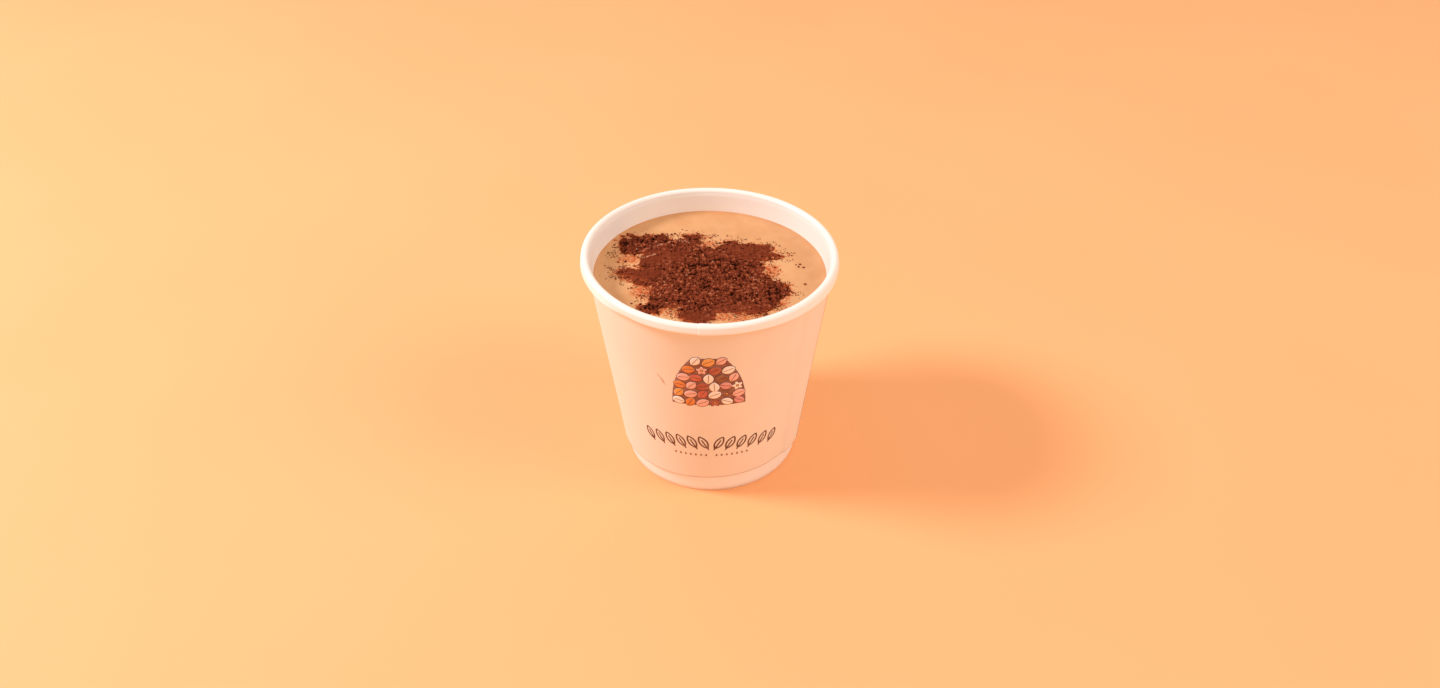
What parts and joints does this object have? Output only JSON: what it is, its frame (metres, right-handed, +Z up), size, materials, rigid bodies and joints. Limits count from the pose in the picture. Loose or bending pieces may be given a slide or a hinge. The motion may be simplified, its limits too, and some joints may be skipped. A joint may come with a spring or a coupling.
{
  "type": "cup of hot chocolate",
  "caption": "Small double-wall paper cup filled with milky hot chocolate, with cocoa powder scattered on its surface.",
  "frame": {"origin": "middle of the foot, on the surface that the cup stands on", "axes": "+Z up along the cup, -Y towards the printed front, +X towards the side where the sleeve's flap ends"},
  "size_m": [0.062, 0.062, 0.0585],
  "materials": {
    "white_paper": "coated, satin",
    "blush_paper": "uncoated print, matt",
    "print_ink": "matt ink",
    "milky_chocolate": "smooth fine foam, satin",
    "cocoa": "dry powder, matt"
  },
  "bodies": {
    "root": {"cup_body": "white_paper", "cup_bottom": "white_paper", "cup_sleeve": "blush_paper", "drink": "milky_chocolate", "cocoa_powder": "cocoa"}
  },
  "joints": []
}
